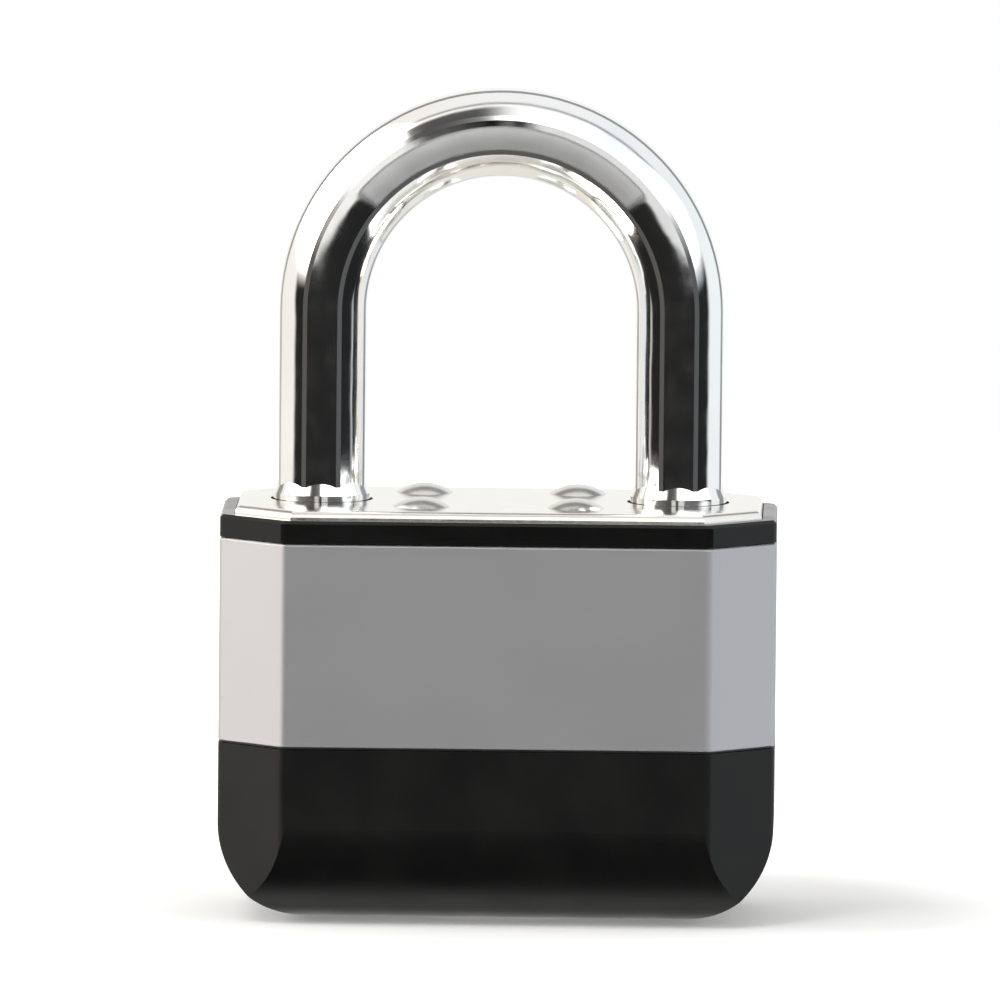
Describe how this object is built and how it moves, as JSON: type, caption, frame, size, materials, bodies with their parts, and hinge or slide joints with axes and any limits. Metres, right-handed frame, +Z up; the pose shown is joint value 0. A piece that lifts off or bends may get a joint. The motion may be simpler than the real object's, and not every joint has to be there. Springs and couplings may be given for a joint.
{
  "type": "laminated padlock",
  "caption": "Laminated padlock with an octagonal bow, a steel band round the body and a black moulded jacket, with the key cylinder underneath.",
  "frame": {"origin": "middle of the underside", "axes": "+X across the body towards the toe leg, +Y to the back, +Z up the bow"},
  "size_m": [0.0636, 0.035, 0.0944],
  "materials": {
    "black_plastic": "moulded black plastic with a fine texture",
    "satin_steel": "satin stainless sheet",
    "bright_chrome": "polished chrome plate",
    "nickel_plate": "bright nickel plate",
    "rivet_steel": "bright plated, headed over",
    "plate_steel": "stamped steel",
    "brass": "machined brass",
    "zinc": "cast zinc",
    "ball_steel": "polished ball",
    "spring_steel": "spring wire"
  },
  "bodies": {
    "lock_body": {"jacket": "black_plastic", "steel_band": "satin_steel", "plate_01": "plate_steel", "plate_02": "plate_steel", "plate_03": "plate_steel", "plate_04": "plate_steel", "plate_05": "plate_steel", "plate_06": "plate_steel", "plate_07": "plate_steel", "plate_08": "plate_steel", "plate_09": "plate_steel", "plate_10": "plate_steel", "plate_11": "plate_steel", "plate_12": "plate_steel", "plate_13": "plate_steel", "plate_14": "nickel_plate", "rivets": "rivet_steel", "cylinder_housing": "brass", "chamber_strip": "brass", "shackle_spring": "spring_steel", "driver_spring_1": "spring_steel", "driver_spring_2": "spring_steel", "driver_spring_3": "spring_steel", "driver_spring_4": "spring_steel", "driver_spring_5": "spring_steel"},
    "shackle": {"shackle": "bright_chrome"},
    "plug": {"plug": "brass", "ball_cam": "zinc", "retaining_clip": "spring_steel"},
    "toe_ball": {"toe_ball": "ball_steel"},
    "heel_ball": {"heel_ball": "ball_steel"},
    "key_pin_1": {"key_pin_1": "brass"},
    "key_pin_2": {"key_pin_2": "brass"},
    "key_pin_3": {"key_pin_3": "brass"},
    "key_pin_4": {"key_pin_4": "brass"},
    "key_pin_5": {"key_pin_5": "brass"},
    "driver_pin_1": {"driver_pin_1": "brass"},
    "driver_pin_2": {"driver_pin_2": "brass"},
    "driver_pin_3": {"driver_pin_3": "brass"},
    "driver_pin_4": {"driver_pin_4": "brass"},
    "driver_pin_5": {"driver_pin_5": "brass"}
  },
  "joints": [
    {"name": "shackle_lift", "type": "slide", "parent": "lock_body", "child": "shackle", "axis": [0, 0, 1], "range_m": [0, 0.018], "deforming": ["shackle_spring"]},
    {"name": "plug_turn", "type": "hinge", "parent": "lock_body", "child": "plug", "pos_m": [0, 0, 0.02], "axis": [0, 0, 1], "range_deg": [-90, 0]},
    {"name": "toe_ball_slide", "type": "slide", "parent": "lock_body", "child": "toe_ball", "axis": [1, 0, 0], "range_m": [0, 0.003]},
    {"name": "heel_ball_slide", "type": "slide", "parent": "lock_body", "child": "heel_ball", "axis": [-1, 0, 0], "range_m": [0, 0.0016]},
    {"name": "key_pin_slide_1", "type": "slide", "parent": "plug", "child": "key_pin_1", "axis": [0, 1, 0], "range_m": [-0.00214, 0]},
    {"name": "key_pin_slide_2", "type": "slide", "parent": "plug", "child": "key_pin_2", "axis": [0, 1, 0], "range_m": [-0.00094, 0]},
    {"name": "key_pin_slide_3", "type": "slide", "parent": "plug", "child": "key_pin_3", "axis": [0, 1, 0], "range_m": [-0.00274, 0]},
    {"name": "key_pin_slide_4", "type": "slide", "parent": "plug", "child": "key_pin_4", "axis": [0, 1, 0], "range_m": [-0.00154, 0]},
    {"name": "key_pin_slide_5", "type": "slide", "parent": "plug", "child": "key_pin_5", "axis": [0, 1, 0], "range_m": [-0.00314, 0]},
    {"name": "driver_pin_slide_1", "type": "slide", "parent": "lock_body", "child": "driver_pin_1", "axis": [1, 0, 0], "range_m": [0, 0.0025], "stiffness_N_per_m": 50, "deforming": ["driver_spring_1"]},
    {"name": "driver_pin_slide_2", "type": "slide", "parent": "lock_body", "child": "driver_pin_2", "axis": [1, 0, 0], "range_m": [0, 0.0025], "stiffness_N_per_m": 50, "deforming": ["driver_spring_2"]},
    {"name": "driver_pin_slide_3", "type": "slide", "parent": "lock_body", "child": "driver_pin_3", "axis": [1, 0, 0], "range_m": [0, 0.0025], "stiffness_N_per_m": 50, "deforming": ["driver_spring_3"]},
    {"name": "driver_pin_slide_4", "type": "slide", "parent": "lock_body", "child": "driver_pin_4", "axis": [1, 0, 0], "range_m": [0, 0.0025], "stiffness_N_per_m": 50, "deforming": ["driver_spring_4"]},
    {"name": "driver_pin_slide_5", "type": "slide", "parent": "lock_body", "child": "driver_pin_5", "axis": [1, 0, 0], "range_m": [0, 0.0025], "stiffness_N_per_m": 50, "deforming": ["driver_spring_5"]}
  ],
  "couplings": [
    {"joint": "toe_ball_slide", "follows": "plug_turn", "m_per_rad": -0.0019098},
    {"joint": "heel_ball_slide", "follows": "plug_turn", "m_per_rad": -0.0010185}
  ]
}
